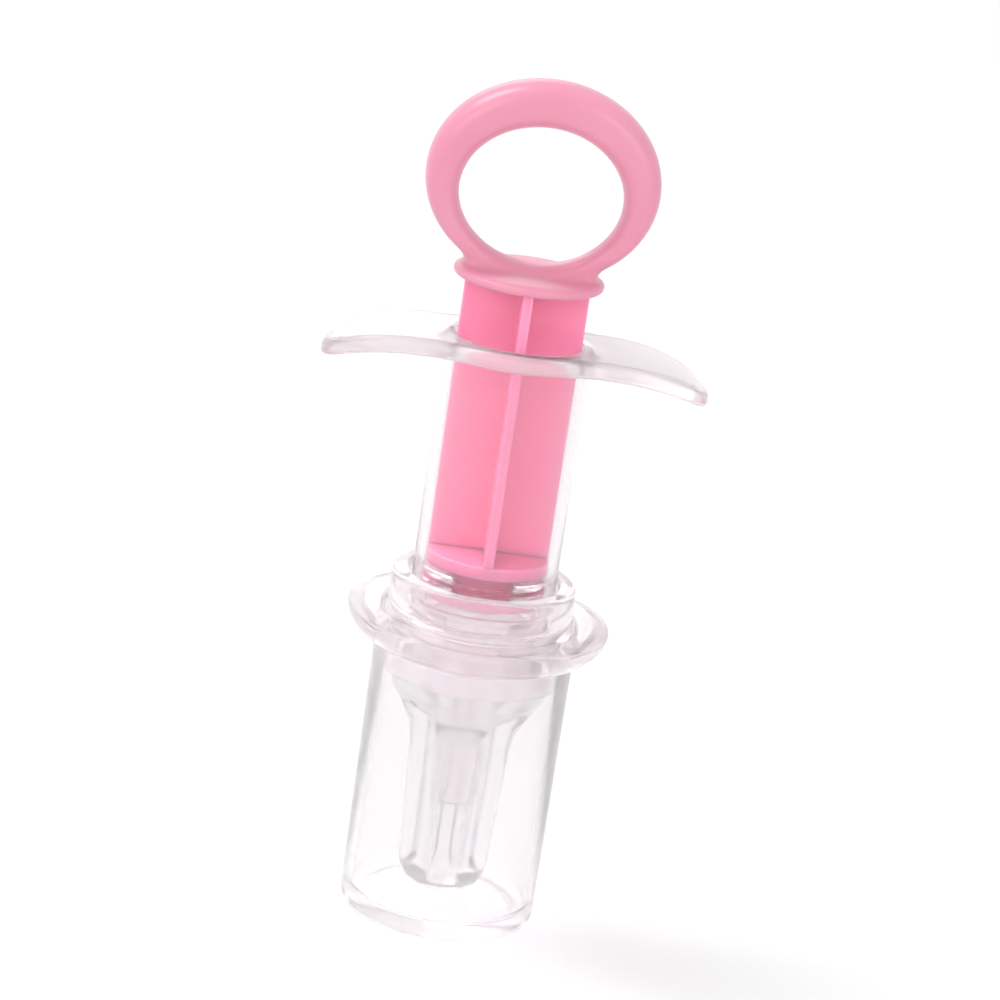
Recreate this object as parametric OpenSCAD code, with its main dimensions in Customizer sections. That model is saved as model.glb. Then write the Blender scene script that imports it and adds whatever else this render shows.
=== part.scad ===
// Oral syringe for giving medicine to a baby: a piston in a clear barrel, a fluted
// silicone teat clamped by a screw collar with a mouth shield, and a dust cap to stand on.
// Origin: centre of the cap's underside. +Z runs up the barrel, the grip wings lie along X,
// and the finger ring faces -Y.

/* [Barrel] */
// Outer diameter of the barrel
barrel_d = 22; // [21.6:0.1:22.2]
// Wall thickness of the barrel
barrel_wall = 1.3; // [1.2:0.1:1.4]
// Length of the straight barrel above its shoulder
barrel_len = 46; // [40:1:60]
// Span of the two grip wings, tip to tip
wing_span = 58.2; // [54:0.5:64]
// Depth of the grip wings, front to back
wing_depth = 18.4; // [16:0.2:21]
// Thickness of the grip wings
wing_t = 2.7; // [2:0.1:3.5]
// How far the wing tips droop
wing_droop = 4; // [1:0.5:6]
// Length of the conical end and nozzle below the shoulder
nozzle_len = 26.7; // [24:0.1:27]
// Outer diameter of the nozzle at its tip
nozzle_d = 6.5; // [6:0.1:6.6]
// Diameter of the liquid channel through the nozzle
nozzle_bore_d = 2.75; // [2:0.05:3.5]

/* [Plunger] */
// Distance from the closed end of the bore to the piston's underside, as drawn
piston_gap = 1; // [1:0.5:30]
// Width of the finger ring
ring_w = 34.8; // [33:0.2:36]
// Height of the finger ring's outline
ring_h = 30; // [29:0.2:31]
// Width of the finger hole
hole_w = 24.3; // [22:0.1:25]
// Height of the finger hole
hole_h = 20.5; // [19.5:0.1:21.5]
// Depth of the finger ring at its top
ring_depth = 8.8; // [7:0.2:10]
// Diameter of the thumb disc
disc_d = 22.6; // [20:0.2:26]
// Thickness of the cross-shaped stem's webs
web_t = 1.5; // [1:0.1:2.5]

/* [Collar] */
// Outer diameter of the screw collar
collar_d = 28.2; // [27.6:0.1:29]
// Height of the collar above the teat's seat
collar_h = 10.3; // [9:0.1:11]
// Diameter of the mouth shield
shield_d = 40; // [36:0.5:46]
// Thread pitch
pitch = 2.2; // [2:0.1:2.4]

/* [Teat] */
// Widest diameter of the teat's funnel
funnel_d = 25.2; // [24.6:0.1:25.4]
// Diameter of the fluted stem at its upper end
teat_d = 15.9; // [15:0.1:16.6]
// Radius of the four flutes
flute_r = 4.3; // [4:0.1:4.5]
// Diameter of the outlet hole in the tip
outlet_d = 1.2; // [0.8:0.1:2]

/* [Cap] */
// Outer diameter of the dust cap at its mouth
cap_d = 30.5; // [30.4:0.1:31.5]
// Height of the dust cap
cap_h = 43.8; // [43.8:0.1:46]
// Wall thickness of the dust cap
cap_wall = 1.3; // [1.2:0.05:1.35]
// Thickness of the dust cap's floor
cap_floor = 2.8; // [2:0.1:3.2]

/* [Hidden] */
$fn = 96;

pink = [0.97, 0.6, 0.71];
clear = [0.93, 0.93, 0.95, 0.35];
milky = [0.94, 0.93, 0.92, 0.8];

eps = 0.01;                                // overlap that makes a cut or a joint clean
slip = 0.1;                                // gap between faces that meet but move apart
free = 0.3;                                // gap between round faces that turn or slide

// Heights of the stack, from the surface it stands on
seat_z = cap_h + 0.8;                      // top of the ledge that carries the teat
ledge_t = 2;                               // thickness of that ledge
flange_t = 1.5;                            // thickness of the teat's clamped flange
shoulder_z = seat_z + flange_t + 2 * slip; // the barrel's shoulder presses on the flange
barrel_top = shoulder_z + barrel_len;
nozzle_z = shoulder_z - nozzle_len;
collar_top = seat_z + collar_h;

barrel_r = barrel_d / 2;
bore_r = barrel_r - barrel_wall;
cone_z = shoulder_z + 4.7;                 // where the straight bore turns conical
cone_h = 15.5;                             // height of that inner cone
nozzle_root_z = shoulder_z - 15.3;         // where the outer cone meets the nozzle
nozzle_root_r = nozzle_d / 2 + 0.55;

// Screw thread, cut back below the barrel's own diameter so that the collar slides over it
root_r = barrel_r - 0.65;                  // bottom of the barrel's thread
crest_r = barrel_r - 0.08;                 // top of the barrel's thread
nut_root_r = barrel_r + free;              // bore of the collar
nut_crest_r = root_r + 0.18;               // inner edge of the collar's thread
thread_z = shoulder_z + 0.6;               // start of the barrel's ridge
thread_turns = 1.6;
ridge_base = 0.95;
ridge_top = 0.45;

wing_x0 = 12;                              // where the wings begin to narrow and droop
boss_r = barrel_r + 2.4;

web_r = bore_r - 0.35;
piston_z = cone_z + piston_gap;            // underside of the piston
piston_r = bore_r - 0.3;
piston_disc_t = 2;
seal_h = 3;
core_r = 4.6;
piston_top = piston_z + 2 * piston_disc_t + seal_h;
disc_z = piston_z + 48.9;                  // underside of the thumb disc
disc_t = 1.6;
ring_z = disc_z + 15.3;                    // centre of the ring's outline
hole_z = disc_z + 13.1;                    // centre of the finger hole
ring_foot_w = disc_d - 2.8;                // width of the ring where it meets the disc

cap_r = cap_d / 2;
cap_in_r = cap_r - cap_wall;
cap_draft = 0.2;                           // how much narrower the cap is at its foot

// Points of a quarter or other arc, from angle a0 to a1
function arc(cx, cy, r, a0, a1, n = 8) =
    [for (i = [0 : n]) let (a = a0 + (a1 - a0) * i / n) [cx + r * cos(a), cy + r * sin(a)]];

// Distance of the long arcs' centres from the middle of a four-arc oval
function oval_d(a, b, r) = (pow(a - r, 2) - pow(b - r, 2)) / (2 * (b - r));

// Four-arc oval with half width a, half height b and end radius r
module oval(a, b, r) {
    d = oval_d(a, b, r);
    reach = (a - r) * (b + d) / sqrt(pow(a - r, 2) + pow(d, 2));
    for (s = [-1, 1]) translate([s * (a - r), 0]) circle(r);
    intersection() {
        translate([0, -d]) circle(b + d);
        translate([0, d]) circle(b + d);
        square([2 * reach, 2 * b], center = true);
    }
}

// One thread ridge: a trapezoid swept along a helix, with tapered ends. It stands on
// radius r0 and reaches r1, outwards on a barrel and inwards in a collar.
module thread_ridge(r0, r1, z0, turns, steps = 32) {
    n = round(turns * steps);
    inward = r1 < r0;
    foot = inward ? 0.3 : -0.3;            // how deep the ridge is sunk into the wall
    fade = steps / 6;
    pts = [for (i = [0 : n])
        let (a = 360 * i / steps, z = z0 + pitch * i / steps,
             k = min(1, i / fade, (n - i) / fade), r = r0 + (r1 - r0) * max(k, 0.05))
        each [for (p = [[r0 + foot, -ridge_base / 2], [r, -ridge_top / 2],
                        [r, ridge_top / 2], [r0 + foot, ridge_base / 2]])
            [p[0] * cos(a), p[0] * sin(a), z + p[1]]]];
    sides = [for (i = [0 : n - 1], j = [0 : 3])
        let (a = 4 * i + j, b = 4 * i + (j + 1) % 4)
        each [[a, b, b + 4], [a, b + 4, a + 4]]];
    ends = [[3, 2, 1], [3, 1, 0], [4 * n, 4 * n + 1, 4 * n + 2], [4 * n, 4 * n + 2, 4 * n + 3]];
    all = concat(sides, ends);
    polyhedron(pts, inward ? [for (f = all) [f[2], f[1], f[0]]] : all);
}

// Plan of the grip wings: a straight middle with tapering, rounded ends
module wing_plan() {
    a = wing_span / 2 - wing_x0;
    b = wing_depth / 2;
    tip = [for (t = [-90 : 10 : 90]) [
        wing_x0 + a * pow(cos(t), 2 / 2.3),
        b * sign(t) * pow(abs(sin(t)), 2 / 2.3)]];
    polygon(concat(tip, [for (i = [len(tip) - 1 : -1 : 0]) [-tip[i][0], tip[i][1]]]));
    for (s = [-1, 1]) mirror([0, s > 0 ? 1 : 0]) polygon(concat(
        arc(0, 0, boss_r, 58, 122),
        [[-wing_x0 - 1, wing_depth / 2 - 0.4], [wing_x0 + 1, wing_depth / 2 - 0.4]]));
    circle(boss_r);
}

// Front view of the grip wings: level in the middle, drooping towards the tips
module wing_side() {
    half = wing_span / 2 + 1;
    function top(x) = barrel_top
        - wing_droop * pow(max(0, abs(x) - wing_x0) / (wing_span / 2 - wing_x0), 2.6);
    xs = [for (i = [-20 : 20]) half * i / 20];
    polygon(concat([for (x = xs) [x, top(x)]],
                   [for (i = [len(xs) - 1 : -1 : 0]) [xs[i], top(xs[i]) - wing_t]]));
}

module wings() {
    intersection() {
        translate([0, 0, barrel_top - 20]) linear_extrude(30) wing_plan();
        rotate([90, 0, 0]) linear_extrude(2 * barrel_d, center = true) wing_side();
    }
}

module barrel() {
    color(clear) difference() {
        union() {
            rotate_extrude() polygon([
                [0, nozzle_z], [nozzle_d / 2, nozzle_z], [nozzle_root_r, nozzle_root_z],
                [root_r - 1.95, shoulder_z], [root_r, shoulder_z], [root_r, cone_z],
                [barrel_r, cone_z + 0.65], [barrel_r, barrel_top], [0, barrel_top]]);
            wings();
            thread_ridge(root_r, crest_r, thread_z, thread_turns);
        }
        translate([0, 0, cone_z]) cylinder(h = barrel_top - cone_z + 1, r = bore_r);
        translate([0, 0, cone_z - cone_h])
            cylinder(h = cone_h + eps, r1 = nozzle_bore_d / 2, r2 = bore_r);
        translate([0, 0, nozzle_z - 1]) cylinder(h = nozzle_len, d = nozzle_bore_d);
    }
}

// Finger ring: an oval band with a square foot, deeper at its top than at the thumb disc
module finger_ring() {
    foot = ring_depth * 0.72;
    intersection() {
        rotate([90, 0, 0]) linear_extrude(ring_depth, center = true) difference() {
            union() {
                translate([0, ring_z]) oval(ring_w / 2, ring_h / 2, ring_h / 2 - 1.4);
                translate([-ring_foot_w / 2, disc_z + 0.3]) square([ring_foot_w, 4]);
            }
            translate([0, hole_z]) oval(hole_w / 2, hole_h / 2, hole_h / 2 - 0.6);
        }
        rotate([90, 0, 90]) linear_extrude(ring_w + 1, center = true) polygon([
            [-foot / 2, disc_z + 0.2], [foot / 2, disc_z + 0.2],
            [ring_depth / 2, ring_z + 8], [ring_depth / 2, ring_z + ring_h],
            [-ring_depth / 2, ring_z + ring_h], [-ring_depth / 2, ring_z + 8]]);
    }
}

module plunger() {
    edge = disc_t / 2;
    color(pink) {
        finger_ring();
        translate([0, 0, disc_z]) rotate_extrude() {
            square([disc_d / 2 - edge, disc_t]);
            translate([disc_d / 2 - edge, edge]) circle(edge);
        }
        for (a = [0, 90]) rotate([0, 0, a])
            translate([-web_r, -web_t / 2, piston_top - eps])
                cube([2 * web_r, web_t, disc_z - piston_top + 2 * eps]);
        for (z = [piston_z, piston_top - piston_disc_t])
            translate([0, 0, z]) cylinder(h = piston_disc_t, r = piston_r);
        translate([0, 0, piston_z + eps]) cylinder(h = piston_top - piston_z - 2 * eps, r = core_r);
    }
}

// Silicone seal: a sleeve between the piston's two discs, with a lip at each end
module piston_seal() {
    z0 = piston_z + piston_disc_t + slip / 2;
    h = seal_h - slip;
    lip_r = bore_r - 0.05;
    color(milky) translate([0, 0, z0]) difference() {
        rotate_extrude() polygon([
            [0, 0], [lip_r - 0.3, 0], [lip_r, 0.3], [lip_r, 0.7], [lip_r - 0.5, h / 2 - 0.3],
            [lip_r - 0.5, h / 2 + 0.3], [lip_r, h - 0.7], [lip_r, h - 0.3],
            [lip_r - 0.3, h], [0, h]]);
        translate([0, 0, -1]) cylinder(h = h + 2, r = core_r + 0.05);
    }
}

module collar() {
    r_out = collar_d / 2;
    lip = (r_out - nut_root_r) / 2;
    shield_r = shield_d / 2;
    skirt_r = cap_in_r - 0.25;
    skirt_z = cap_h - 4.3;
    under_z = cap_h + 0.2;
    crease_z = under_z + 4.8;
    belly = concat(arc(cap_r + 0.9, under_z + 4, 4, 270, 300, 4),
                   arc(shield_r - 2.1, under_z + 2.6, 2.1, -40, 0, 4));
    color(clear) difference() {
        union() {
            rotate_extrude() polygon(concat(
                [[0, skirt_z], [skirt_r, skirt_z], [skirt_r, under_z]], belly,
                [[shield_r - 0.1, crease_z], [r_out + 1.2, crease_z + 0.3],
                 [r_out, crease_z + 1.3], [r_out, collar_top - lip], [0, collar_top - lip]]));
            translate([0, 0, collar_top - lip]) rotate_extrude() {
                translate([nut_root_r + lip, 0]) circle(lip);
                translate([0, -lip]) square([nut_root_r + lip, lip]);
            }
        }
        translate([0, 0, seat_z]) cylinder(h = collar_h + 1, r = nut_root_r);
        translate([0, 0, seat_z - ledge_t - 1]) cylinder(h = ledge_t + 2, r = root_r - 0.65);
        translate([0, 0, skirt_z - 1]) cylinder(h = seat_z - ledge_t - skirt_z + 1, r = skirt_r - 0.8);
    }
    color(clear) thread_ridge(nut_root_r, nut_crest_r, thread_z - pitch / 2, thread_turns);
}

// Silicone teat: a clamped flange and neck, a funnel, and a stem with four flutes
module teat() {
    neck_r = root_r - 0.8;
    flange_z = seat_z + slip;
    ledge_z = seat_z - ledge_t - slip;
    stem_r = teat_d / 2;
    tip_z = 5;
    tip_r = stem_r - 1.1;
    hub_r = 4.95;
    gap = 0.15;
    color(milky) difference() {
        rotate_extrude() polygon(concat(
            [[0, tip_z]], arc(0, tip_z + tip_r * 0.75, tip_r, -70, -20, 6),
            [[stem_r - 0.6, tip_z + 13], [stem_r, tip_z + 23], [stem_r + 0.5, tip_z + 26.5],
             [stem_r + 1.3, tip_z + 29], [stem_r + 2.6, tip_z + 31.2],
             [funnel_d / 2 - 0.2, ledge_z - 4.6], [funnel_d / 2, ledge_z - 3],
             [funnel_d / 2, ledge_z], [neck_r, ledge_z], [neck_r, flange_z],
             [root_r - 0.05, flange_z], [root_r - 0.05, flange_z + flange_t],
             [0, flange_z + flange_t]]));
        // Inside of the funnel, which clears the barrel's cone
        rotate_extrude() polygon([
            [0, nozzle_root_z - 3], [nozzle_root_r + gap, nozzle_root_z - 3],
            [nozzle_root_r + 1, nozzle_root_z], [stem_r + 0.2, tip_z + 29.5],
            [funnel_d / 2 - 2.2, ledge_z - 4.2], [funnel_d / 2 - 2.4, ledge_z - 2.5],
            [neck_r - 0.9, ledge_z - 1], [neck_r - 0.9, flange_z + flange_t + 1],
            [0, flange_z + flange_t + 1]]);
        translate([0, 0, nozzle_z - 0.4])
            cylinder(h = nozzle_root_z - nozzle_z, r1 = nozzle_d / 2 + gap, r2 = nozzle_root_r + gap);
        translate([0, 0, tip_z + 3.5]) cylinder(h = nozzle_z - tip_z, r = 2.3);
        translate([0, 0, tip_z - 1]) cylinder(h = 6, d = outlet_d);
        for (a = [45 : 90 : 315]) rotate([0, 0, a]) flute(hub_r, tip_z + 3.5, tip_z + 28.5);
    }
}

// Cutter for one flute: a leaning rod with round ends
module flute(hub_r, z0, z1) {
    lean = 1.5;
    translate([hub_r + flute_r - 0.45, 0, z0]) rotate([0, lean, 0]) {
        cylinder(h = z1 - z0, r = flute_r);
        sphere(flute_r);
        translate([0, 0, z1 - z0]) sphere(flute_r);
    }
}

module cap() {
    foot_r = cap_r - cap_draft;
    corner = 2.2;
    color(clear) rotate_extrude() polygon(concat(
        [[0, 0.4], [foot_r - corner - 1.2, 0.4], [foot_r - corner - 0.8, 0]],
        arc(foot_r - corner, corner, corner, -90, 0),
        [[cap_r, cap_h]],
        [[cap_in_r, cap_h]],
        arc(foot_r - cap_wall - 1.5, cap_floor + 1.5, 1.5, 0, -90, 6),
        [[0, cap_floor]]));
}

cap();
teat();
collar();
barrel();
plunger();
piston_seal();
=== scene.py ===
import math

import bmesh
import bpy
from bpy.props import FloatProperty, FloatVectorProperty, IntProperty, PointerProperty
from mathutils import Matrix, Vector


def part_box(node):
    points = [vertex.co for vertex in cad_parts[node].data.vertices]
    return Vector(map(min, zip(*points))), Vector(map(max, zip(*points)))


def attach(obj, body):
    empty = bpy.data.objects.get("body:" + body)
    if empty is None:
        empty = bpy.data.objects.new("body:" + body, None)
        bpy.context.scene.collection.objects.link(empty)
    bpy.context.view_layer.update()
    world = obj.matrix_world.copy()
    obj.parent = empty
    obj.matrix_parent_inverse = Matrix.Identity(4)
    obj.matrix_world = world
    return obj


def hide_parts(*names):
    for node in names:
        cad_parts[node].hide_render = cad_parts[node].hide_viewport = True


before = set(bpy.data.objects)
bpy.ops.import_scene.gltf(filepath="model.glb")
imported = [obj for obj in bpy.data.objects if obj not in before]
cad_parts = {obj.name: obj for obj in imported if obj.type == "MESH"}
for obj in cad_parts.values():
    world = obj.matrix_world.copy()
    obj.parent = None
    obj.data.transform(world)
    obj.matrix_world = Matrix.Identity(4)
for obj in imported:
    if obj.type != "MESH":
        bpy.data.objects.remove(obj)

bl_info = {
    "name": "Oral syringe",
    "version": (1, 0, 0),
    "blender": (4, 5, 0),
    "location": "3D Viewport > Sidebar > Syringe",
    "description": "Builds an oral syringe with a ring plunger, mouth shield, teat and dust cap",
    "category": "Object",
}

# Drawing sizes are in millimetres, and Blender's units are metres.
MM = 0.001
TURN = 2 * math.pi

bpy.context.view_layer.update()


def span(node):
    """Lowest and highest corner of a frame node, in millimetres."""
    low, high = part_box(node)
    return Vector(low) / MM, Vector(high) / MM


_, CAP_HIGH = span("cap")
TEAT_LOW, TEAT_HIGH = span("teat")
COLLAR_LOW, COLLAR_HIGH = span("collar")
BARREL_LOW, BARREL_HIGH = span("barrel")
PLUNGER_LOW, PLUNGER_HIGH = span("plunger")
SEAL_LOW, SEAL_HIGH = span("piston_seal")

# Half the finger ring's height, the thumb disc's underside, and a piston disc's thickness
RING_HALF_HEIGHT = 15
THUMB_DISC_LOW = PLUNGER_HIGH.z - RING_HALF_HEIGHT - 15.3
PISTON_DISC = 2


# ------------------------------------------------------------------ sizes and colours


class SyringeSizes(bpy.types.PropertyGroup):
    """Sizes of the pieces that the frame's boxes don't give"""

    columns: IntProperty(
        name="Columns", description="Faces around each turned piece", default=256, min=64, max=512
    )
    cap_wall: FloatProperty(
        name="Cap wall", description="Wall of the dust cap", default=1.3 * MM, unit="LENGTH"
    )
    cap_floor: FloatProperty(
        name="Cap floor", description="Thickness of the cap's floor", default=2.8 * MM,
        unit="LENGTH",
    )
    barrel_radius: FloatProperty(
        name="Barrel radius", description="Outside of the barrel", default=11 * MM, unit="LENGTH"
    )
    barrel_wall: FloatProperty(
        name="Barrel wall", description="Wall of the barrel", default=1.3 * MM, unit="LENGTH"
    )
    wing_depth: FloatProperty(
        name="Wing depth", description="Grip wings, front to back", default=18.4 * MM,
        unit="LENGTH",
    )
    wing_thickness: FloatProperty(
        name="Wing thickness", description="Plate of the grip wings", default=2.7 * MM,
        unit="LENGTH",
    )
    wing_droop: FloatProperty(
        name="Wing droop", description="How far the wing tips drop", default=4 * MM,
        unit="LENGTH",
    )
    pitch: FloatProperty(
        name="Pitch", description="Rise of the screw thread in a turn", default=2.2 * MM,
        unit="LENGTH",
    )
    web: FloatProperty(
        name="Web", description="Thickness of the plunger's webs", default=1.5 * MM, unit="LENGTH"
    )


class SyringeColours(bpy.types.PropertyGroup):
    """Colours of the finishes, as linear light"""

    # The plunger is one pink plastic in two copies. Pink, for the ring and thumb disc, is darkened
    # as painted shade on the ring's sides. The web pink below is brightened as painted light on the
    # stem that the thumb disc shades, and it is also used for the piston discs.
    pink: FloatVectorProperty(
        name="Pink", description="Plunger moulding", subtype="COLOR", size=3,
        default=(0.69, 0.235, 0.345), min=0, max=1,
    )
    painted_light_web_pink: FloatVectorProperty(
        name="Web pink", description="Plunger's thin webs and discs", subtype="COLOR", size=3,
        default=(0.93, 0.288, 0.47), min=0, max=1,
    )
    clear: FloatVectorProperty(
        name="Clear", description="Dust cap", subtype="COLOR", size=3,
        default=(0.925, 0.918, 0.922), min=0, max=1,
    )
    blush: FloatVectorProperty(
        name="Blush", description="Collar and barrel, a clear plastic with a trace of pink",
        subtype="COLOR", size=3, default=(0.94, 0.9, 0.915), min=0, max=1,
    )
    # The milky skin is partly real haze and partly painted light. Its pinkish white paints a
    # reflection of white on the wings' upright edges, and light over the dark gap in the barrel's
    # mouth.
    frost_and_painted_sheen: FloatVectorProperty(
        name="Frost", description="Milky skin on the grip wings", subtype="COLOR", size=3,
        default=(0.78, 0.725, 0.745), min=0, max=1,
    )
    silicone: FloatVectorProperty(
        name="Silicone", description="Teat and seal", subtype="COLOR", size=3,
        default=(0.925, 0.925, 0.925), min=0, max=1,
    )
    floor: FloatVectorProperty(
        name="Floor", description="Studio floor", subtype="COLOR", size=3,
        default=(0.81, 0.81, 0.81), min=0, max=1,
    )


def sizes():
    return bpy.context.scene.syringe_sizes


def colours():
    return bpy.context.scene.syringe_colours


def bore_radius():
    """Inside radius of the barrel, in millimetres."""
    return sizes().barrel_radius / MM - sizes().barrel_wall / MM


# ------------------------------------------------------------------ shader maths


class Value:
    """A shader socket that can be used in sums, products and powers."""

    def __init__(self, graph, socket):
        self.graph = graph
        self.socket = socket

    def _math(self, operation, *others):
        made = self.graph.add("ShaderNodeMath", {"operation": operation}, [self, *others])
        return made["Value"]

    def __add__(self, other):
        return self._math("ADD", other)

    def __radd__(self, other):
        return self._math("ADD", other)

    def __sub__(self, other):
        return self._math("SUBTRACT", other)

    def __rsub__(self, other):
        return (self * -1)._math("ADD", other)

    def __mul__(self, other):
        return self._math("MULTIPLY", other)

    def __rmul__(self, other):
        return self._math("MULTIPLY", other)

    def __pow__(self, other):
        return self._math("POWER", other)

    def clamp(self):
        return self._math("MAXIMUM", 0.0)._math("MINIMUM", 1.0)


class Made:
    """A new node, whose outputs are read by name."""

    def __init__(self, graph, node):
        self.graph = graph
        self.node = node

    def __getitem__(self, name):
        return Value(self.graph, self.node.outputs[name])


class Graph:
    """The node tree of one material or of the world."""

    def __init__(self, tree):
        self.tree = tree
        tree.nodes.clear()

    def add(self, kind, settings=None, inputs=None):
        """Adds a node: its settings first, then values or links for its sockets."""
        node = self.tree.nodes.new(kind)
        for name, value in (settings or {}).items():
            if name == "stops":
                self._stops(node.color_ramp, value)
            else:
                setattr(node, name, value)
        pairs = inputs.items() if isinstance(inputs, dict) else enumerate(inputs or [])
        for name, value in pairs:
            if isinstance(value, Value):
                self.tree.links.new(value.socket, node.inputs[name])
            else:
                node.inputs[name].default_value = value
        return Made(self, node)

    @staticmethod
    def _stops(ramp, stops):
        while len(ramp.elements) < len(stops):
            ramp.elements.new(0.5)
        for element, (place, colour) in zip(ramp.elements, stops):
            element.position = place
            element.color = (*colour, 1)

    def place(self, scale=(1, 1, 1)):
        """Object coordinates, stretched by scale."""
        coords = self.add("ShaderNodeTexCoord")["Object"]
        return self.add("ShaderNodeMapping", inputs={"Vector": coords, "Scale": scale})["Vector"]

    def noise(self, vector, scale, detail=3, roughness=0.5):
        made = self.add(
            "ShaderNodeTexNoise",
            inputs={"Vector": vector, "Scale": scale, "Detail": detail, "Roughness": roughness},
        )
        return Value(self, made.node.outputs[0])

    def bump(self, height, strength, distance):
        return self.add(
            "ShaderNodeBump",
            inputs={"Strength": strength, "Distance": distance, "Height": height},
        )["Normal"]

    def mix_colour(self, factor, first, second):
        made = self.add("ShaderNodeMix", {"data_type": "RGBA"})
        for index, value in ((0, factor), (6, first), (7, second)):
            if isinstance(value, Value):
                self.tree.links.new(value.socket, made.node.inputs[index])
            elif index == 0:
                made.node.inputs[index].default_value = value
            else:
                made.node.inputs[index].default_value = (*value, 1)
        return Value(self, made.node.outputs[2])


# Scale of each noise pattern, in features per metre
FLOW_LINES = 90
SCUFFS = 900
SILICONE_CLOUDS = 160
SILICONE_SKIN = 1400
PINK_CLOUDS = 70
MOULDED_SKIN = 2200
PAPER_GRAIN = 300


def new_material(name):
    material = bpy.data.materials.new(name)
    material.use_nodes = True
    return material, Graph(material.node_tree)


def see_through(graph, surface, lamp_tint):
    """Surface to the eye, and a pale tint to the lamps, so that what is inside is lit."""
    path = graph.add("ShaderNodeLightPath")
    lamps = graph.add("ShaderNodeBsdfTransparent", inputs={"Color": (*lamp_tint, 1)})["BSDF"]
    return graph.add(
        "ShaderNodeMixShader", inputs={0: path["Is Shadow Ray"], 1: surface, 2: lamps}
    )["Shader"]


def clear_plastic(name, colour, haze, milk, index, frost_and_painted_sheen=None):
    """Polished clear plastic: faint flow lines and scuffs, and a trace of pink in its depth.
    haze is its roughness, and milk how much of it is milky and not clear. The frost factor, if
    given, makes a milky skin on part of the piece, partly haze and partly painted light."""
    material, graph = new_material(name)
    flow = graph.noise(graph.place(), FLOW_LINES, detail=2)
    scuff = graph.noise(graph.place((1, 1, 0.35)), SCUFFS, detail=4, roughness=0.65)
    surface = graph.add(
        "ShaderNodeBsdfPrincipled",
        inputs={
            "Base Color": (*colour, 1),
            "Roughness": (haze + 0.05 * (scuff - 0.5)).clamp(),
            "IOR": index,
            "Transmission Weight": 1 - milk,
            "Normal": graph.bump(flow, 0.12, 0.15 * MM),
        },
    )["BSDF"]
    # Milky skin: a pinkish milky shader mixed in, partly haze, partly a painted reflection and
    # painted light.
    if frost_and_painted_sheen:
        white = graph.add(
            "ShaderNodeBsdfPrincipled",
            inputs={
                "Base Color": (*colours().frost_and_painted_sheen, 1),
                "Roughness": 0.35,
                "IOR": index,
                "Transmission Weight": 0.5,
            },
        )["BSDF"]
        surface = graph.add(
            "ShaderNodeMixShader", inputs={0: frost_and_painted_sheen(graph), 1: surface, 2: white}
        )["Shader"]
    inside = graph.add(
        "ShaderNodeVolumeAbsorption", inputs={"Color": (0.9, 0.8, 0.85, 1), "Density": 8}
    )["Volume"]
    graph.add(
        "ShaderNodeOutputMaterial",
        inputs={"Surface": see_through(graph, surface, (0.97, 0.95, 0.96)), "Volume": inside},
    )
    return material


def wing_frost_and_painted_sheen(graph):
    """Factor of the milky skin: strong on the upright edge of the grip wings as a painted
    reflection of white, and in the top 3 mm of the barrel as painted light over the dark gap round
    the stem;
    faint haze elsewhere on the wings."""
    normal = graph.add("ShaderNodeNewGeometry")["Normal"]
    up = graph.add("ShaderNodeSeparateXYZ", inputs={"Vector": normal})["Z"]
    place = graph.add("ShaderNodeSeparateXYZ", inputs={"Vector": graph.place()})
    radius = (place["X"] * place["X"] + place["Y"] * place["Y"]) ** 0.5
    onset = 1500  # the skin sets in over 1/1500 of a metre
    tube = sizes().barrel_radius + 0.6 * MM
    outside = ((radius - tube) * onset).clamp()
    mouth = ((place["Z"] - (BARREL_HIGH.z - 3) * MM) * onset).clamp()
    upright = (1 - up * up).clamp() ** 1.5
    # The 0.06 share is haze. The upright share paints a reflection of white on the wings' edges,
    # and the mouth share paints light over the dark gap round the stem.
    return (outside * (0.06 + 0.34 * upright) + 0.4 * mouth).clamp()


def milky_silicone(name, milk, haze, index):
    """Soft translucent silicone: mostly clear, with a milky share and a satin skin."""
    material, graph = new_material(name)
    skin = graph.noise(graph.place(), SILICONE_SKIN, detail=3)
    cloud = graph.noise(graph.place(), SILICONE_CLOUDS, detail=2)
    normal = graph.bump(cloud, 0.1, 0.1 * MM)
    clear = graph.add(
        "ShaderNodeBsdfPrincipled",
        inputs={
            "Base Color": (*colours().silicone, 1),
            "Roughness": (haze + 0.05 * (skin - 0.5)).clamp(),
            "IOR": index,
            "Transmission Weight": 1.0,
            "Normal": normal,
        },
    )["BSDF"]
    solid = graph.add(
        "ShaderNodeBsdfPrincipled",
        inputs={
            "Base Color": graph.mix_colour(cloud, (0.86, 0.85, 0.86), (0.95, 0.94, 0.945)),
            "Roughness": 0.35,
            "IOR": index,
            "Subsurface Weight": 1.0,
            "Subsurface Radius": (1.0, 0.9, 0.9),
            "Subsurface Scale": 2 * MM,
            "Normal": normal,
        },
    )["BSDF"]
    mixed = graph.add("ShaderNodeMixShader", inputs={0: milk, 1: clear, 2: solid})["Shader"]
    inside = graph.add(
        "ShaderNodeVolumeAbsorption",
        inputs={"Color": (0.85, 0.82, 0.83, 1), "Density": 20},
    )["Volume"]
    graph.add(
        "ShaderNodeOutputMaterial",
        inputs={"Surface": see_through(graph, mixed, (0.95, 0.945, 0.95)), "Volume": inside},
    )
    return material


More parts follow.
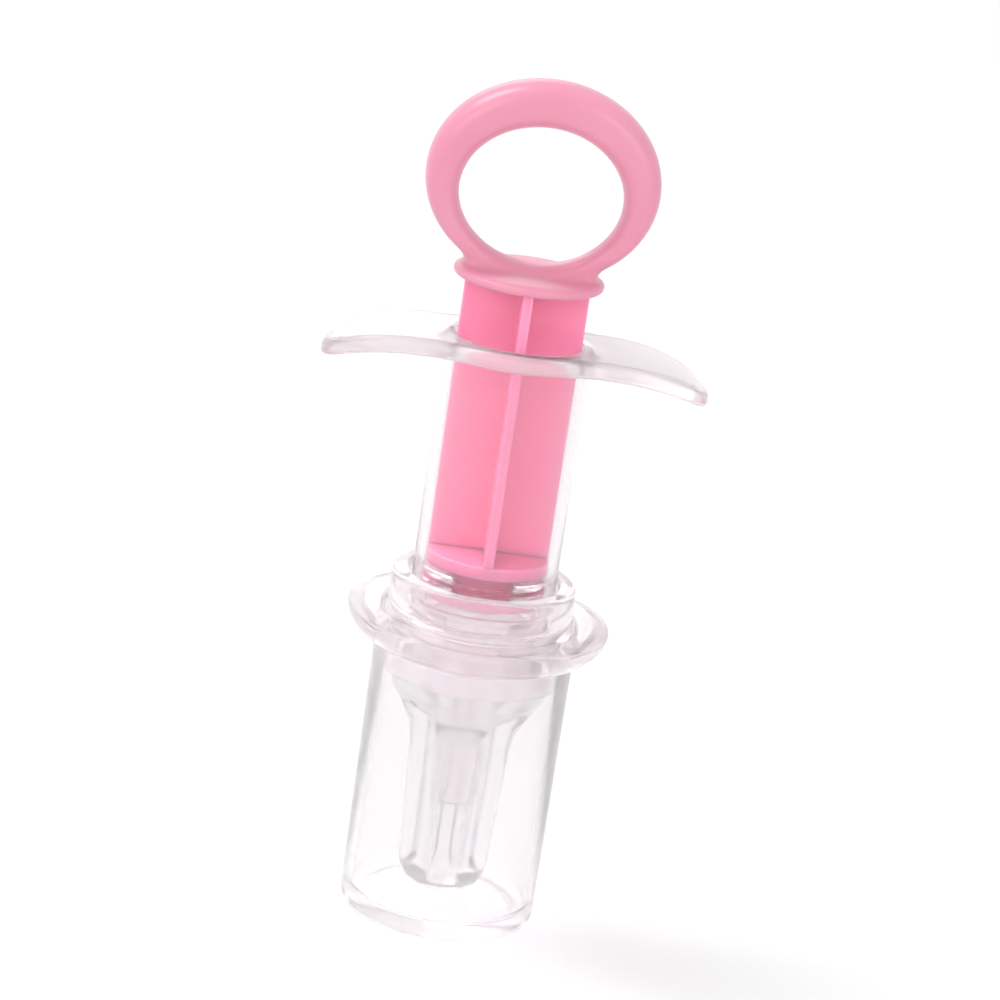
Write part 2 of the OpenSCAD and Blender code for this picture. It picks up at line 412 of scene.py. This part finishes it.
def pink_plastic(name, pink, glow=0.25, reach=1.2):
    """Pink moulded plastic with a satin gloss, faint mottling and a fine moulded skin.
    glow is how much light wanders through it and reach how far, more in thin webs."""
    material, graph = new_material(name)
    cloud = graph.noise(graph.place(), PINK_CLOUDS, detail=3)
    skin = graph.noise(graph.place(), MOULDED_SKIN, detail=3)
    near_white = 0.95
    paler = tuple(0.9 * channel + 0.1 * near_white for channel in pink)
    surface = graph.add(
        "ShaderNodeBsdfPrincipled",
        inputs={
            "Base Color": graph.mix_colour(cloud, tuple(pink), paler),
            "Roughness": (0.32 + 0.1 * (cloud - 0.5) + 0.06 * (skin - 0.5)).clamp(),
            "IOR": 1.5,
            "Subsurface Weight": glow,
            "Subsurface Radius": (1.0, 0.45, 0.55),
            "Subsurface Scale": reach * MM,
            "Normal": graph.bump(skin, 0.06, 0.05 * MM),
        },
    )["BSDF"]
    graph.add("ShaderNodeOutputMaterial", inputs={"Surface": surface})
    return material


def studio_floor(name):
    """Matt pale paper."""
    material, graph = new_material(name)
    grain = graph.noise(graph.place(), PAPER_GRAIN, detail=3)
    base = tuple(colours().floor)
    darker = tuple(0.985 * channel for channel in base)
    surface = graph.add(
        "ShaderNodeBsdfPrincipled",
        inputs={"Base Color": graph.mix_colour(grain, darker, base), "Roughness": 0.8},
    )["BSDF"]
    graph.add("ShaderNodeOutputMaterial", inputs={"Surface": surface})
    return material


# ------------------------------------------------------------------ modelling helpers


def deselect():
    for item in bpy.context.selected_objects:
        item.select_set(False)


def named(piece, name):
    piece.name = name
    piece.data.name = name
    return piece


def select_where(piece, kind, test):
    """Selects vertices, edges or faces in edit mode, where test says so."""
    bpy.context.tool_settings.mesh_select_mode = (kind == "verts", kind == "edges", kind == "faces")
    mesh = bmesh.from_edit_mesh(piece.data)
    for group in (mesh.faces, mesh.edges, mesh.verts):
        for item in group:
            item.select = False
    found = 0
    for item in getattr(mesh, kind):
        if test(item):
            item.select_set(True)
            found += 1
    bmesh.update_edit_mesh(piece.data)
    return found


def draw_outline(name, points):
    """Extrudes one vertex through the points, each a radius and a height in millimetres."""
    deselect()
    bpy.ops.mesh.primitive_plane_add(size=MM)
    piece = named(bpy.context.object, name)
    bpy.context.tool_settings.mesh_select_mode = (True, False, False)
    bpy.ops.object.mode_set(mode="EDIT")
    bpy.ops.mesh.merge(type="CENTER")
    bpy.ops.transform.translate(value=(points[0][0] * MM, 0, points[0][1] * MM))
    for here, there in zip(points, points[1:]):
        step = ((there[0] - here[0]) * MM, 0, (there[1] - here[1]) * MM)
        bpy.ops.mesh.extrude_region_move(TRANSFORM_OT_translate={"value": step})
    return piece


def turn(name, points, columns=None):
    """Turns an outline round the Z axis into a closed shell with its faces outward."""
    piece = draw_outline(name, points)
    bpy.ops.mesh.select_all(action="SELECT")
    bpy.ops.mesh.spin(
        steps=columns or sizes().columns, angle=TURN, center=(0, 0, 0), axis=(0, 0, 1)
    )
    bpy.ops.mesh.select_all(action="SELECT")
    bpy.ops.mesh.remove_doubles(threshold=0.002 * MM)
    bpy.ops.mesh.normals_make_consistent(inside=False)
    bpy.ops.object.mode_set(mode="OBJECT")
    return piece


def round_rings(piece, rings, segments=5):
    """Bevels the edge rings at each radius and height by the width given with them."""
    bpy.ops.object.mode_set(mode="EDIT")
    for radius, height, width in rings:

        def on_ring(edge):
            return all(
                abs(math.hypot(v.co.x, v.co.y) / MM - radius) < 0.02
                and abs(v.co.z / MM - height) < 0.02
                for v in edge.verts
            )

        if not select_where(piece, "edges", on_ring):
            raise RuntimeError(f"{piece.name} has no ring at {radius}, {height}")
        bpy.ops.mesh.bevel(offset=width * MM, segments=segments, affect="EDGES", clamp_overlap=True)
    bpy.ops.object.mode_set(mode="OBJECT")


def shape(piece, rule):
    """Moves each vertex to where rule puts it, in millimetres."""
    for vertex in piece.data.vertices:
        vertex.co = Vector(rule(vertex.co / MM)) * MM


def polar(point):
    return math.hypot(point.x, point.y), math.atan2(point.y, point.x)


def at_polar(radius, angle, height):
    return radius * math.cos(angle), radius * math.sin(angle), height


def smooth_max(a, b, blend):
    """The larger of two numbers, rounded where they meet."""
    part = max(blend - abs(a - b), 0) / blend
    return max(a, b) + part * part * blend / 4


def ease(value, low, high):
    """Rises smoothly from 0 at low to 1 at high."""
    t = min(max((value - low) / (high - low), 0), 1)
    return t * t * (3 - 2 * t)


def along(table, height):
    """Reads a list of (height, radius) pairs, rising in height, at one height."""
    for (z0, r0), (z1, r1) in zip(table, table[1:]):
        if height <= z1:
            return r0 + (r1 - r0) * min(max((height - z0) / (z1 - z0), 0), 1)
    return table[-1][1]


def arc_points(cx, cy, radius, start, end, steps=8):
    """Points of an arc, from one angle to another in degrees."""
    angles = [math.radians(start + (end - start) * i / steps) for i in range(steps + 1)]
    return [(cx + radius * math.cos(a), cy + radius * math.sin(a)) for a in angles]


def rows(r0, z0, r1, z1, count):
    """Evenly spaced points from one to another, without the last."""
    return [(r0 + (r1 - r0) * i / count, z0 + (z1 - z0) * i / count) for i in range(count)]


# Screw thread: its turns, the ridge's width at its foot and at its top in millimetres, and
# the angle in radians over which it runs out at each end
THREAD_TURNS = 1.6
THREAD_FOOT = 1.1
THREAD_TOP = 0.4
THREAD_RUNOUT = 0.9


def ridge(angle, height, start, pitch):
    """Height of the screw thread's ridge, 0 to 1, at an angle and a height."""
    if angle < 0:
        angle += TURN
    best = 0
    for lap in range(-1, math.ceil(THREAD_TURNS) + 1):
        wound = angle + lap * TURN
        left = THREAD_TURNS * TURN - wound
        if wound < 0 or left < 0:
            continue
        away = abs(height - start - pitch * wound / TURN)
        fade = min(1, wound / THREAD_RUNOUT, left / THREAD_RUNOUT)
        rise = 1 - ease(away, THREAD_TOP / 2, THREAD_FOOT / 2)
        best = max(best, rise * max(fade, 0))
    return best


def finish_piece(piece, body, material, smooth=35, node=None):
    """Smooths a piece, gives it its material and ties it to its body and its node."""
    deselect()
    piece.select_set(True)
    bpy.context.view_layer.objects.active = piece
    bpy.ops.object.shade_smooth_by_angle(angle=math.radians(smooth))
    piece.data.materials.clear()
    piece.data.materials.append(material)
    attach(piece, body)
    if node:
        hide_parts(node)
    piece.select_set(False)
    return piece


# ------------------------------------------------------------------ pieces


class SYRINGE_OT_cap(bpy.types.Operator):
    """Clear dust cap: a cup with a thick floor, a rounded foot and a rolled rim"""

    bl_idname = "syringe.cap"
    bl_label = "Dust cap"

    def execute(self, context):
        wall = sizes().cap_wall / MM
        floor = sizes().cap_floor / MM
        rim_r = CAP_HIGH.x
        foot_r = rim_r - 0.2
        top = CAP_HIGH.z
        corner = 2.2
        inner_corner = 1.8
        recess = 0.4
        dome = 0.15
        foot_in = foot_r - corner - 0.7
        recess_r = foot_r - corner - 1.6
        outline = [(0, recess), (recess_r, recess), (foot_in, 0)]
        outline += arc_points(foot_r - corner, corner, corner, -90, 0, 10)
        outline += [(rim_r, top), (rim_r - wall, top)]
        inner_r = foot_r - wall - inner_corner
        outline += arc_points(inner_r, floor + inner_corner, inner_corner, 0, -90, 8)
        outline += [(0, floor + dome)]
        piece = turn("dust_cap", outline)
        round_rings(piece, [
            (rim_r, top, 0.5), (rim_r - wall, top, 0.45),
            (foot_in, 0, 0.3), (recess_r, recess, 0.3),
        ], segments=4)
        finish_piece(piece, "cap",
                     clear_plastic("clear cap plastic", colours().clear, haze=0.09, milk=0.12,
                                   index=1.25),
                     node="cap")
        return {"FINISHED"}


class SYRINGE_OT_teat(bpy.types.Operator):
    """Silicone teat: clamped flange, neck, funnel and a stem with four scooped flutes"""

    bl_idname = "syringe.teat"
    bl_label = "Teat"

    # Outside of the stem and funnel, as (height above the tip, radius)
    OUTSIDE = [(0.1, 1.6), (0.45, 3.2), (1.1, 4.7), (2.1, 5.9), (3.5, 6.65), (5.2, 7.0),
               (11, 7.3), (18, 7.65), (23, 7.95), (25.8, 8.35), (27.8, 9.1), (30, 10.3),
               (31.8, 11.4), (33.3, 12.2)]
    ROW_HEIGHT = 0.45

    def execute(self, context):
        tip = TEAT_LOW.z
        wide = TEAT_HIGH.x
        top = TEAT_HIGH.z
        flange = top - 1.5
        ledge = top - 3.7
        funnel = ledge - 3
        outlet = 0.6
        hollow = 29.5
        neck = 9.55
        flange_r = 10.3
        mouth = 8.7
        nozzle_z = BARREL_LOW.z
        steps = self.OUTSIDE
        outline = [(outlet, tip)]
        for (h0, r0), (h1, r1) in zip(steps, steps[1:]):
            count = max(1, round((h1 - h0) / self.ROW_HEIGHT))
            outline += rows(r0, tip + h0, r1, tip + h1, count)
        outline += [(steps[-1][1], tip + steps[-1][0]), (wide, funnel), (wide, ledge)]
        outline += [(neck, ledge), (neck, flange), (flange_r, flange), (flange_r, top)]
        # Down the inside: mouth, funnel, the nozzle's socket, outlet
        outline += [(mouth, top), (mouth, ledge - 1), (wide - 2.4, ledge - 2.6)]
        outline += [(wide - 2.2, ledge - 4), (8.2, tip + hollow), (4.9, nozzle_z + 11.4)]
        outline += [(3.95, nozzle_z + 10.2), (3.4, nozzle_z - 0.4), (2.3, nozzle_z - 1.1)]
        outline += [(2.2, tip + 3.6), (outlet, tip + 2.6), (outlet, tip)]
        piece = turn("silicone_teat", outline)
        round_rings(piece, [
            (wide, ledge, 0.4), (wide, funnel, 1.0), (flange_r, top, 0.3),
            (flange_r, flange, 0.3), (neck, ledge, 0.25),
        ], segments=4)
        inner = [(tip, outlet), (tip + 3.4, 2.4), (nozzle_z - 0.5, 2.5), (nozzle_z - 0.2, 3.6),
                 (nozzle_z + 11, 4.6), (tip + hollow, 8.5), (funnel, wide - 2)]
        low, high = tip + 4.2, tip + 27.5
        rod_r = 4.35
        hub_r = 4.9
        hub_taper = 0.018
        retreat = 0.25
        least_wall = 0.15
        blend = 0.8

        def flute(point):
            """Scoops four grooves into the stem, each by a round rod. Past the grooves' ends
            the rods thin out and move outward."""
            r, angle = polar(point)
            on_outlet = r < outlet + 0.1
            if point.z > high + 5 or r < along(inner, point.z) + least_wall or on_outlet:
                return point
            over = max(point.z - high, low - point.z, 0)
            hub = hub_r + hub_taper * (point.z - tip)
            centre = hub + rod_r + retreat * over
            rod = math.sqrt(max(rod_r * rod_r - over * over, 0))
            for k in range(4):
                away = angle - math.radians(45 + 90 * k)
                away = (away + math.pi) % TURN - math.pi
                side = centre * math.sin(away)
                if abs(away) < 1 and abs(side) < rod:
                    wall = centre * math.cos(away) - math.sqrt(rod * rod - side * side)
                    r = -smooth_max(-r, -wall, blend)
            return at_polar(r, angle, point.z)

        shape(piece, flute)
        finish_piece(piece, "teat",
                     milky_silicone("teat silicone", milk=0.14, haze=0.08, index=1.35),
                     smooth=50, node="teat")
        return {"FINISHED"}


class SYRINGE_OT_collar(bpy.types.Operator):
    """Clear screw collar in one piece with the mouth shield, threaded inside"""

    bl_idname = "syringe.collar"
    bl_label = "Collar and shield"

    def execute(self, context):
        bottom = COLLAR_LOW.z
        top = COLLAR_HIGH.z
        shield = COLLAR_HIGH.x
        cap_top = CAP_HIGH.z
        under = cap_top + 0.2
        crease = under + 4.8
        outer = 14.1
        bore = sizes().barrel_radius / MM + 0.3
        lip = 0.75
        skirt = CAP_HIGH.x - sizes().cap_wall / MM - 0.25
        seat = cap_top + 0.8
        hole = 9.7
        belly_r = 15.4
        edge_z = crease - 0.35
        thread_low, thread_high = seat + 0.5, seat + 6.7
        ridge_height = 0.75
        pitch = sizes().pitch / MM
        outline = [(skirt - 0.8, bottom), (skirt, bottom), (skirt, under)]
        # The shield's underside is part of an oval that ends 10 degrees short of level
        belly = (shield - belly_r) / math.cos(math.radians(10))
        short = 0.17
        for x, y in arc_points(0, 0, 1, -88, -10, 12):
            rise = (y + short) / (1 - short)
            outline.append((belly_r + belly * x, edge_z + (edge_z - under) * rise))
        outline += [(shield - 0.12, crease - 0.08), (shield - 0.4, crease)]
        outline += [(outer + 1.4, crease + 0.1), (outer, crease + 1.0)]
        outline += arc_points(outer - lip, top - lip, lip, 0, 90, 6)
        outline += arc_points(bore + lip, top - lip, lip, 90, 180, 6)
        outline += [(bore, seat + 7)]
        outline += rows(bore, thread_high - 0.1, bore, thread_low + 0.2, 52)
        outline += [(bore, seat), (hole, seat), (hole, seat - 2), (skirt - 0.8, seat - 2)]
        outline += [(skirt - 0.8, bottom)]
        piece = turn("collar_with_shield", outline)
        round_rings(piece, [
            (outer + 1.4, crease + 0.1, 0.5), (outer, crease + 1.0, 0.5), (skirt, bottom, 0.25),
            (hole, seat, 0.3), (hole, seat - 2, 0.3), (skirt, under, 0.3),
        ], segments=4)
        start = seat + 2.4 - pitch / 2

        def thread(point):
            """Raises the screw thread on the collar's bore."""
            r, angle = polar(point)
            if abs(r - bore) > 0.02 or not thread_low < point.z < thread_high:
                return point
            rise = ridge(angle, point.z, start, pitch)
            return at_polar(r - ridge_height * rise, angle, point.z)

        shape(piece, thread)
        finish_piece(piece, "collar",
                     clear_plastic("clear collar plastic", colours().blush, haze=0.08,
                                   milk=0.13, index=1.3),
                     smooth=40, node="collar")
        return {"FINISHED"}


class SYRINGE_OT_barrel(bpy.types.Operator):
    """Clear barrel with drooping grip wings, a screw thread and a conical nozzle"""

    bl_idname = "syringe.barrel"
    bl_label = "Barrel"

    # Where the wings leave the middle, the middle's radius, how square the outline is, and
    # how late the wings' droop sets in
    WING_START = 12
    BOSS = 12.9
    SQUARENESS = 2.3
    DROOP_CURVE = 2.6

    def wing_edge(self, angle, half_span, half_depth):
        """Distance of the flange's edge from the axis, in one direction."""
        c, s = abs(math.cos(angle)), abs(math.sin(angle))
        low, high = 0.0, half_span + 1
        for _ in range(40):
            r = (low + high) / 2
            x = max(r * c - self.WING_START, 0) / (half_span - self.WING_START)
            inside = x ** self.SQUARENESS + (r * s / half_depth) ** self.SQUARENESS < 1
            low, high = (r, high) if inside else (low, r)
        return smooth_max(low, self.BOSS, 4)

    def execute(self, context):
        outer = sizes().barrel_radius / MM
        inner = bore_radius()
        half_span = BARREL_HIGH.x
        half_depth = sizes().wing_depth / MM / 2
        thick = sizes().wing_thickness / MM
        droop = sizes().wing_droop / MM
        pitch = sizes().pitch / MM
        bottom = BARREL_LOW.z
        top = BARREL_HIGH.z
        shoulder = bottom + 26.7
        cone = shoulder + 4.7
        root = outer - 0.65
        nozzle_r = 3.25
        nozzle_root_r = 3.8
        nozzle_root = shoulder - 15.3
        bore = 1.375
        ridge_height = 0.57
        disc = 18.0  # the flange is turned this wide, then drawn out into the wings
        edge = thick / 2 - 0.25
        outline = [(bore, bottom), (nozzle_r, bottom), (nozzle_root_r, nozzle_root)]
        outline += [(root - 1.95, shoulder), (root, shoulder)]
        outline += rows(root, shoulder + 0.1, root, cone, 44)
        outline += [(root, cone), (outer, cone + 0.65), (outer, top - thick - 0.8)]
        outline += [(outer + 0.2, top - thick - 0.2), (outer + 0.8, top - thick)]
        outline += rows(outer + 1.4, top - thick, disc - edge, top - thick, 6)
        outline += arc_points(disc - edge, top - thick + edge, edge, -90, 0, 5)
        outline += arc_points(disc - edge, top - edge, edge, 0, 90, 5)
        outline += rows(disc - edge - 0.5, top, inner + 0.4, top, 8)
        outline += [(inner + 0.4, top), (inner + 0.1, top - 0.1), (inner, top - 0.4)]
        outline += [(inner, cone), (bore, cone - 15.5), (bore, bottom)]
        piece = turn("clear_barrel", outline)
        round_rings(piece, [
            (nozzle_r, bottom, 0.35), (root, shoulder, 0.2), (nozzle_root_r, nozzle_root, 1.2),
            (bore, bottom, 0.2), (inner, cone, 0.8),
        ], segments=4)
        start = shoulder + 0.6

        def mould(point):
            """Raises the screw thread, and draws the round flange out into the wings."""
            r, angle = polar(point)
            z = point.z
            if abs(r - root) < 0.02 and shoulder < z < cone:
                rise = ridge(angle, z, start, pitch)
                return at_polar(r + ridge_height * rise, angle, z)
            if r > outer + 0.05 and z > top - thick - 1:
                reach = self.wing_edge(angle, half_span, half_depth)
                r += (reach - disc) * ease(r, outer + 0.1, disc - edge - 0.6)
                x = abs(r * math.cos(angle))
                far = max(x - self.WING_START, 0) / (half_span - self.WING_START)
                z -= droop * far ** self.DROOP_CURVE
                return at_polar(r, angle, z)
            return point

        shape(piece, mould)
        # The milky skin here paints a reflection of white on the wings' edges and light in the
        # barrel's mouth.
        finish_piece(piece, "barrel",
                     clear_plastic("clear barrel plastic", colours().blush, haze=0.035,
                                   milk=0.02, index=1.4, frost_and_painted_sheen=wing_frost_and_painted_sheen),
                     smooth=40, node="barrel")
        return {"FINISHED"}


class SYRINGE_OT_ring(bpy.types.Operator):
    """Finger ring that flows into the thumb disc"""

    bl_idname = "syringe.ring"
    bl_label = "Finger ring and thumb disc"

    def execute(self, context):
        half_w = PLUNGER_HIGH.x
        half_h = RING_HALF_HEIGHT
        ring_z = PLUNGER_HIGH.z - half_h
        hole_z = ring_z - 2.2
        disc_r = PLUNGER_HIGH.y
        disc_low = THUMB_DISC_LOW
        disc_t = 1.6
        rim = disc_t / 2
        foot = disc_r - 1.4
        hole_half_w = 12.15
        hole_half_h = 10.25
        squareness = 2.6
        torus_r, tube_r = 14, 2
        deselect()
        bpy.ops.mesh.primitive_torus_add(
            major_segments=192, minor_segments=48,
            major_radius=torus_r * MM, minor_radius=tube_r * MM,
            rotation=(math.pi / 2, 0, 0),
        )
        ring = named(bpy.context.object, "finger_ring")
        bpy.ops.object.transform_apply(location=True, rotation=True, scale=True)

        def oval(angle, a, b, lift):
            """Distance from the hole's middle to the edge of an oval, whose own middle is
            higher by lift and whose half axes are a and b."""
            c, s = math.cos(angle), math.sin(angle)
            # (r c / a)^2 + ((r s - lift) / b)^2 = 1
            k2 = (c / a) ** 2 + (s / b) ** 2
            k1 = -s * lift / b ** 2
            k0 = (lift / b) ** 2 - 1
            return (-k1 + math.sqrt(k1 * k1 - k2 * k0)) / k2

        def mould(point):
            """Fits the torus between the hole's oval and the ring's, and widens its foot."""
            angle = math.atan2(point.z, point.x)
            out = math.hypot(point.x, point.z) - torus_r
            u, v = out / tube_r, point.y / tube_r
            near = oval(angle, hole_half_w, hole_half_h, 0)
            far = oval(angle, half_w, half_h, ring_z - hole_z)
            c, s = abs(math.cos(angle)), -math.sin(angle)
            if s > 0.1:
                far = smooth_max(far, min(foot / max(c, 0.1), (hole_z - disc_low - 0.8) / s), 1.2)
            n = 2 / squareness
            u = math.copysign(abs(u) ** n, u)
            v = math.copysign(abs(v) ** n, v)
            depth = 3.2 + 1.2 * ease(math.sin(angle), -0.9, 0.75)
            r = (near + far) / 2 + u * (far - near) / 2
            return r * math.cos(angle), v * depth, hole_z + r * math.sin(angle)

        shape(ring, mould)
        disc = turn("thumb_disc", [
            (0, disc_low), (disc_r - rim, disc_low),
            *arc_points(disc_r - rim, disc_low + rim, rim, -90, 90, 10)[1:],
            (disc_r - 2 * rim, disc_low + disc_t + 0.03), (0, disc_low + disc_t + 0.1),
        ], columns=192)
        disc.select_set(True)
        ring.select_set(True)
        bpy.context.view_layer.objects.active = ring
        bpy.ops.object.join()
        remesh = ring.modifiers.new("one skin", "REMESH")
        remesh.mode = "VOXEL"
        remesh.voxel_size = 0.22 * MM
        bpy.ops.object.modifier_apply(modifier="one skin")
        root = ring.vertex_groups.new(name="root")
        root_z = disc_low + disc_t
        for vertex in ring.data.vertices:
            height = vertex.co.z / MM
            weight = ease(height, root_z - 0.5, root_z + 0.2)
            weight *= 1 - ease(height, root_z + 1, root_z + 4)
            root.add([vertex.index], weight, "REPLACE")
        for name, group, passes in (("soften", "", 6), ("blend root", "root", 90)):
            soften = ring.modifiers.new(name, "SMOOTH")
            soften.factor = 0.5
            soften.iterations = passes
            soften.vertex_group = group
            bpy.ops.object.modifier_apply(modifier=name)
        # The ring's pink is the darker copy of the plunger plastic: painted shade on the ring's
        # sides.
        finish_piece(ring, "plunger",
                     pink_plastic("pink ring plastic", colours().pink), smooth=180)
        return {"FINISHED"}


class SYRINGE_OT_stem(bpy.types.Operator):
    """Cross-shaped stem of the plunger"""

    bl_idname = "syringe.stem"
    bl_label = "Plunger stem"

    def execute(self, context):
        web = sizes().web / MM
        reach = bore_radius() - 0.35
        # Both ends are sunk a little into the discs
        low = SEAL_HIGH.z + PISTON_DISC
        high = THUMB_DISC_LOW + 0.3
        deselect()
        bpy.ops.mesh.primitive_cube_add(size=MM)
        stem = named(bpy.context.object, "plunger_stem")
        bpy.ops.object.mode_set(mode="EDIT")
        bpy.ops.transform.resize(value=(web, web, high - low))
        bpy.ops.transform.translate(value=(0, 0, (low + high) / 2 * MM))
        for x, y in ((1, 0), (-1, 0), (0, 1), (0, -1)):
            side = Vector((x, y, 0))
            select_where(stem, "faces", lambda face: face.normal.dot(side) > 0.9
                         and (face.calc_center_median() / MM).xy.length < web)
            move = side * (reach - web / 2) * MM
            bpy.ops.mesh.extrude_region_move(TRANSFORM_OT_translate={"value": move})

        def tall(edge):
            a, b = (v.co / MM for v in edge.verts)
            return abs(a.z - b.z) > 1

        select_where(stem, "edges", lambda e: tall(e) and polar(e.verts[0].co / MM)[0] > 2)
        bpy.ops.mesh.bevel(offset=0.3 * MM, segments=4, affect="EDGES")
        select_where(stem, "edges", lambda e: tall(e) and polar(e.verts[0].co / MM)[0] < 2)
        bpy.ops.mesh.bevel(offset=0.5 * MM, segments=4, affect="EDGES")
        bpy.ops.object.mode_set(mode="OBJECT")
        # The stem's web pink is the lighter copy of the plunger plastic: painted light on the stem
        # under the thumb disc.
        finish_piece(stem, "plunger",
                     pink_plastic("pink web plastic", colours().painted_light_web_pink, glow=0.9, reach=2.5),
                     smooth=40)
        return {"FINISHED"}


class SYRINGE_OT_piston(bpy.types.Operator):
    """Two piston discs on their core, at the stem's lower end"""

    bl_idname = "syringe.piston"
    bl_label = "Piston discs"

    def execute(self, context):
        low = PLUNGER_LOW.z
        gap_low = SEAL_LOW.z - 0.05
        gap_high = SEAL_HIGH.z + 0.05
        high = gap_high + PISTON_DISC
        disc = bore_radius() - 0.3
        core = 4.6
        piece = turn("piston_discs", [
            (0, low), (disc, low), (disc, gap_low), (core, gap_low), (core, gap_high),
            (disc, gap_high), (disc, high), (0, high),
        ], columns=160)
        round_rings(piece, [
            (disc, low, 0.45), (disc, gap_low, 0.2), (disc, gap_high, 0.2), (disc, high, 0.35),
        ], segments=4)
        # The piston discs take the lighter web pink, a painted-light copy of the plunger plastic.
        finish_piece(piece, "plunger",
                     pink_plastic("pink disc plastic", colours().painted_light_web_pink, glow=1.0, reach=3),
                     node="plunger")
        return {"FINISHED"}


class SYRINGE_OT_seal(bpy.types.Operator):
    """Translucent silicone sleeve with a lip at each end, between the piston discs"""

    bl_idname = "syringe.seal"
    bl_label = "Piston seal"

    def execute(self, context):
        low, high = SEAL_LOW.z, SEAL_HIGH.z
        middle = (low + high) / 2
        lip = SEAL_HIGH.x
        bore = 4.65
        piece = turn("piston_seal_sleeve", [
            (bore, low), (lip - 0.35, low), (lip, low + 0.35), (lip, low + 0.75),
            (lip - 0.5, middle - 0.3), (lip - 0.5, middle + 0.3), (lip, high - 0.75),
            (lip, high - 0.35), (lip - 0.35, high), (bore, high), (bore, low),
        ], columns=192)
        finish_piece(piece, "plunger",
                     milky_silicone("seal silicone", milk=0.03, haze=0.04, index=1.06),
                     node="piston_seal")
        return {"FINISHED"}


class SYRINGE_OT_stage(bpy.types.Operator):
    """Pale floor, soft studio lights and the camera"""

    bl_idname = "syringe.stage"
    bl_label = "Stage"

    # What every lamp points at, in metres
    LIT = Vector((0, 0, 0.07))

    def floor(self):
        deselect()
        bpy.ops.mesh.primitive_circle_add(vertices=96, radius=6, fill_type="NGON")
        floor = named(bpy.context.object, "floor")
        floor.data.materials.append(studio_floor("floor paper"))

    def lamp(self, name, place, size, power):
        """A round soft lamp: place and size in metres, power in watts."""
        data = bpy.data.lights.new(name, "AREA")
        data.shape = "DISK"
        data.size = size
        data.energy = power
        lamp = bpy.data.objects.new(name, data)
        bpy.context.scene.collection.objects.link(lamp)
        lamp.location = place
        aim = self.LIT - Vector(place)
        lamp.rotation_euler = aim.to_track_quat("-Z", "Y").to_euler()

    def sky(self):
        """White round the horizon, softer grey overhead."""
        world = bpy.data.worlds.new("studio")
        bpy.context.scene.world = world
        world.use_nodes = True
        graph = Graph(world.node_tree)
        up = graph.add("ShaderNodeTexCoord")["Generated"]
        height = graph.add("ShaderNodeSeparateXYZ", inputs={"Vector": up})["Z"]
        tone = graph.add(
            "ShaderNodeValToRGB",
            {"stops": [(0.0, (1, 1, 1)), (0.15, (1, 1, 1)), (0.45, (0.8, 0.79, 0.8)),
                       (1.0, (0.88, 0.88, 0.88))]},
            {0: height},
        )["Color"]
        sky = graph.add("ShaderNodeBackground", inputs={"Color": tone, "Strength": 1.0})
        graph.add("ShaderNodeOutputWorld", inputs={"Surface": sky["Background"]})

    def camera(self):
        """A long lens from a little above, rolled so that the upright syringe leans."""
        aim = Vector((0.63, 0, 66.9)) * MM
        distance = 540 * MM
        azimuth, elevation, roll = (math.radians(a) for a in (-2.5, 16.3, 8.53))
        back = Vector((
            math.sin(azimuth) * math.cos(elevation),
            -math.cos(azimuth) * math.cos(elevation),
            math.sin(elevation),
        ))
        data = bpy.data.cameras.new("camera")
        data.sensor_width = 36
        data.lens = 129
        data.clip_start = 0.01
        camera = bpy.data.objects.new("camera", data)
        bpy.context.scene.collection.objects.link(camera)
        turned = (-back).to_track_quat("-Z", "Y").to_matrix().to_4x4()
        camera.matrix_world = (
            Matrix.Translation(aim + back * distance) @ turned @ Matrix.Rotation(roll, 4, "Z")
        )
        bpy.context.scene.camera = camera

    def execute(self, context):
        self.floor()
        self.sky()
        self.lamp("key", (-1.3, -2.3, 1.2), 1.5, 14.5)
        self.lamp("fill", (1.3, -2.2, 1.0), 1.6, 12.5)
        self.lamp("top", (-1.5, 0.5, 2.6), 1.4, 42)
        self.lamp("rim", (-0.3, 2.2, 0.8), 0.9, 2)
        self.camera()
        context.scene.view_settings.view_transform = "Standard"
        paths = context.scene.cycles
        paths.max_bounces = 40
        paths.transmission_bounces = 32
        paths.glossy_bounces = 24
        paths.transparent_max_bounces = 24
        return {"FINISHED"}


class SYRINGE_PT_panel(bpy.types.Panel):
    """Buttons that build the syringe"""

    bl_label = "Oral syringe"
    bl_idname = "SYRINGE_PT_panel"
    bl_space_type = "VIEW_3D"
    bl_region_type = "UI"
    bl_category = "Syringe"

    def draw(self, context):
        for operator in STEPS:
            self.layout.operator(operator.bl_idname)
        for group in (context.scene.syringe_sizes, context.scene.syringe_colours):
            box = self.layout.box()
            for name in group.__annotations__:
                box.prop(group, name)


STEPS = [
    SYRINGE_OT_cap,
    SYRINGE_OT_teat,
    SYRINGE_OT_collar,
    SYRINGE_OT_barrel,
    SYRINGE_OT_ring,
    SYRINGE_OT_stem,
    SYRINGE_OT_piston,
    SYRINGE_OT_seal,
    SYRINGE_OT_stage,
]
CLASSES = [SyringeSizes, SyringeColours, *STEPS, SYRINGE_PT_panel]


def register():
    for item in CLASSES:
        bpy.utils.register_class(item)
    bpy.types.Scene.syringe_sizes = PointerProperty(type=SyringeSizes)
    bpy.types.Scene.syringe_colours = PointerProperty(type=SyringeColours)


def unregister():
    del bpy.types.Scene.syringe_colours
    del bpy.types.Scene.syringe_sizes
    for item in reversed(CLASSES):
        bpy.utils.unregister_class(item)


def main():
    register()
    for operator in STEPS:
        group, name = operator.bl_idname.split(".")
        if getattr(getattr(bpy.ops, group), name)() != {"FINISHED"}:
            raise RuntimeError(f"{operator.bl_label} was not finished")


if __name__ == "__main__":
    main()
